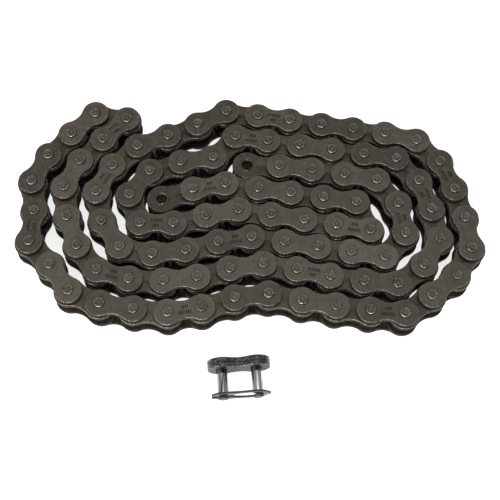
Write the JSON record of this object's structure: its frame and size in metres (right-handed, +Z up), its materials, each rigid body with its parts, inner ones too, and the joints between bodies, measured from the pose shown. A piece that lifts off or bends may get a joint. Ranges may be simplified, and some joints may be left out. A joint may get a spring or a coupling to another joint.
{
  "type": "motorcycle drive chain",
  "caption": "Roller chain coiled on its side, with plates, pins, bushes and rollers, an uncoiling fold, two open ends and a loose clip-type connecting link.",
  "frame": {"origin": "under the middle of the whole object, on the surface that it lies on", "axes": "+X along the long side of the coil, +Z up along the pins, the connecting link lies on the -Y side"},
  "size_m": [0.2248, 0.1508, 0.0174],
  "materials": {
    "dark_steel": "oiled dark grey-brown",
    "pin_steel": "oiled mid grey, staked ends",
    "bright_steel": "ground bright",
    "clip_steel": "spring steel, dark grey"
  },
  "bodies": {
    "coil": {"strand_a_run_1": "dark_steel", "strand_a_run_2": "dark_steel", "strand_a_run_3": "dark_steel", "strand_a_run_4": "dark_steel", "strand_a_run_5": "dark_steel", "strand_a_run_6": "dark_steel", "strand_a_run_7": "dark_steel", "strand_b_run_1": "dark_steel", "strand_b_run_2": "dark_steel", "strand_b_run_3": "dark_steel", "strand_b_run_4": "dark_steel", "strand_b_run_5": "dark_steel", "strand_b_run_6": "dark_steel", "strand_b_run_7": "dark_steel", "strand_b_run_8": "dark_steel", "end_a_outer_plate_bottom": "dark_steel", "end_a_outer_plate_top": "dark_steel", "end_a_pin_1": "pin_steel", "end_a_pin_2": "pin_steel", "end_b_outer_plate_bottom": "dark_steel", "end_b_outer_plate_top": "dark_steel", "end_b_pin_1": "pin_steel", "end_b_pin_2": "pin_steel"},
    "end_a_link": {"end_a_inner_plate_top": "dark_steel", "end_a_inner_plate_bottom": "dark_steel", "end_a_bush_1": "bright_steel", "end_a_bush_2": "bright_steel"},
    "end_a_roller_1": {"end_a_roller_1": "bright_steel"},
    "end_a_roller_2": {"end_a_roller_2": "bright_steel"},
    "end_b_link": {"end_b_inner_plate_top": "dark_steel", "end_b_inner_plate_bottom": "dark_steel", "end_b_bush_1": "bright_steel", "end_b_bush_2": "bright_steel"},
    "end_b_roller_1": {"end_b_roller_1": "bright_steel"},
    "end_b_roller_2": {"end_b_roller_2": "bright_steel"},
    "fold_link": {"fold_inner_plate_top": "dark_steel", "fold_inner_plate_bottom": "dark_steel", "fold_bush_1": "bright_steel", "fold_bush_2": "bright_steel"},
    "fold_roller_1": {"fold_roller_1": "bright_steel"},
    "fold_roller_2": {"fold_roller_2": "bright_steel"},
    "tail_a1": {"tail_a1_inner_link": "dark_steel"},
    "tail_a2": {"tail_a2_outer_link": "dark_steel"},
    "tail_a3": {"tail_a3_inner_link": "dark_steel"},
    "tail_a4": {"tail_a4_outer_plate_bottom": "dark_steel", "tail_a4_outer_plate_top": "dark_steel", "tail_a4_pin_1": "pin_steel", "tail_a4_pin_2": "pin_steel"},
    "tail_b1": {"tail_b1_inner_link": "dark_steel"},
    "tail_b2": {"tail_b2_outer_link": "dark_steel"},
    "tail_b3": {"tail_b3_inner_link": "dark_steel"},
    "tail_b4": {"tail_b4_outer_plate_bottom": "dark_steel", "tail_b4_outer_plate_top": "dark_steel", "tail_b4_pin_1": "pin_steel", "tail_b4_pin_2": "pin_steel"},
    "joining_link": {"joining_fixed_plate": "dark_steel", "joining_pin_1": "bright_steel", "joining_pin_2": "bright_steel"},
    "side_plate": {"joining_side_plate": "dark_steel"},
    "clip": {"spring_clip": "clip_steel"}
  },
  "joints": [
    {"name": "tail_a2_pivot", "type": "hinge", "parent": "tail_a1", "child": "tail_a2", "pos_m": [-0.08955, 0.02356, 0.0087], "axis": [0, 0, 1], "range_deg": [0, 30]},
    {"name": "tail_a1_pivot", "type": "hinge", "parent": "coil", "child": "tail_a1", "pos_m": [-0.0865, 0.00798, 0.0087], "axis": [0, 0, 1], "range_deg": [0, 12]},
    {"name": "tail_a3_pivot", "type": "hinge", "parent": "tail_a2", "child": "tail_a3", "pos_m": [-0.08313, 0.03808, 0.0087], "axis": [0, 0, 1], "range_deg": [0, 18]},
    {"name": "tail_a4_pivot", "type": "hinge", "parent": "tail_a3", "child": "tail_a4", "pos_m": [-0.07322, 0.05048, 0.0087], "axis": [0, 0, 1], "range_deg": [0, 3]},
    {"name": "fold_pivot", "type": "hinge", "parent": "tail_a4", "child": "fold_link", "pos_m": [-0.06267, 0.06235, 0.0087], "axis": [0, 0, 1], "range_deg": [-63, 0]},
    {"name": "tail_b1_pivot", "type": "hinge", "parent": "coil", "child": "tail_b1", "pos_m": [-0.10222, 0.01019, 0.0087], "axis": [0, 0, 1], "range_deg": [0, 12]},
    {"name": "tail_b2_pivot", "type": "hinge", "parent": "tail_b1", "child": "tail_b2", "pos_m": [-0.10527, 0.02577, 0.0087], "axis": [0, 0, 1], "range_deg": [0, 30]},
    {"name": "tail_b3_pivot", "type": "hinge", "parent": "tail_b2", "child": "tail_b3", "pos_m": [-0.09885, 0.04029, 0.0087], "axis": [0, 0, 1], "range_deg": [0, 18]},
    {"name": "tail_b4_pivot", "type": "hinge", "parent": "tail_b3", "child": "tail_b4", "pos_m": [-0.08894, 0.05269, 0.0087], "axis": [0, 0, 1], "range_deg": [0, 3]},
    {"name": "end_a_pivot", "type": "hinge", "parent": "coil", "child": "end_a_link", "pos_m": [-0.02746, 0.02563, 0.0087], "axis": [0, 0, 1], "range_deg": [-3, 2]},
    {"name": "end_b_pivot", "type": "hinge", "parent": "coil", "child": "end_b_link", "pos_m": [0.01368, 0.04026, 0.0087], "axis": [0, 0, 1], "range_deg": [-5, 0]},
    {"name": "end_a_roller_1_spin", "type": "hinge", "parent": "end_a_link", "child": "end_a_roller_1", "pos_m": [-0.02746, 0.02563, 0.0087], "axis": [0, 0, 1], "continuous": true},
    {"name": "end_a_roller_2_spin", "type": "hinge", "parent": "end_a_link", "child": "end_a_roller_2", "pos_m": [-0.04242, 0.02032, 0.0087], "axis": [0, 0, 1], "continuous": true},
    {"name": "end_b_roller_1_spin", "type": "hinge", "parent": "end_b_link", "child": "end_b_roller_1", "pos_m": [0.01368, 0.04026, 0.0087], "axis": [0, 0, 1], "continuous": true},
    {"name": "end_b_roller_2_spin", "type": "hinge", "parent": "end_b_link", "child": "end_b_roller_2", "pos_m": [-0.00218, 0.04085, 0.0087], "axis": [0, 0, 1], "continuous": true},
    {"name": "fold_roller_1_spin", "type": "hinge", "parent": "fold_link", "child": "fold_roller_1", "pos_m": [-0.06267, 0.06235, 0.0087], "axis": [0, 0, 1], "continuous": true},
    {"name": "fold_roller_2_spin", "type": "hinge", "parent": "fold_link", "child": "fold_roller_2", "pos_m": [-0.07839, 0.06456, 0.0087], "axis": [0, 0, 1], "continuous": true},
    {"name": "joining_link_slide", "type": "slide", "parent": "coil", "child": "joining_link", "axis": [0, -1, 0], "range_m": [0, 0.03]},
    {"name": "side_plate_slide", "type": "slide", "parent": "joining_link", "child": "side_plate", "axis": [0.1219, -0.9925, 0], "range_m": [0, 0.011]},
    {"name": "clip_slide", "type": "slide", "parent": "joining_link", "child": "clip", "axis": [0.9925, 0.1219, 0], "range_m": [0, 0.024]}
  ],
  "couplings": [
    {"joint": "tail_a1_pivot", "follows": "tail_a2_pivot", "ratio": 0.4},
    {"joint": "tail_a3_pivot", "follows": "tail_a2_pivot", "ratio": 0.6},
    {"joint": "tail_a4_pivot", "follows": "tail_a2_pivot", "ratio": 0.1},
    {"joint": "fold_pivot", "follows": "tail_a2_pivot", "ratio": -2.1},
    {"joint": "tail_b1_pivot", "follows": "tail_a2_pivot", "ratio": 0.4},
    {"joint": "tail_b2_pivot", "follows": "tail_a2_pivot", "ratio": 1},
    {"joint": "tail_b3_pivot", "follows": "tail_a2_pivot", "ratio": 0.6},
    {"joint": "tail_b4_pivot", "follows": "tail_a2_pivot", "ratio": 0.1}
  ]
}
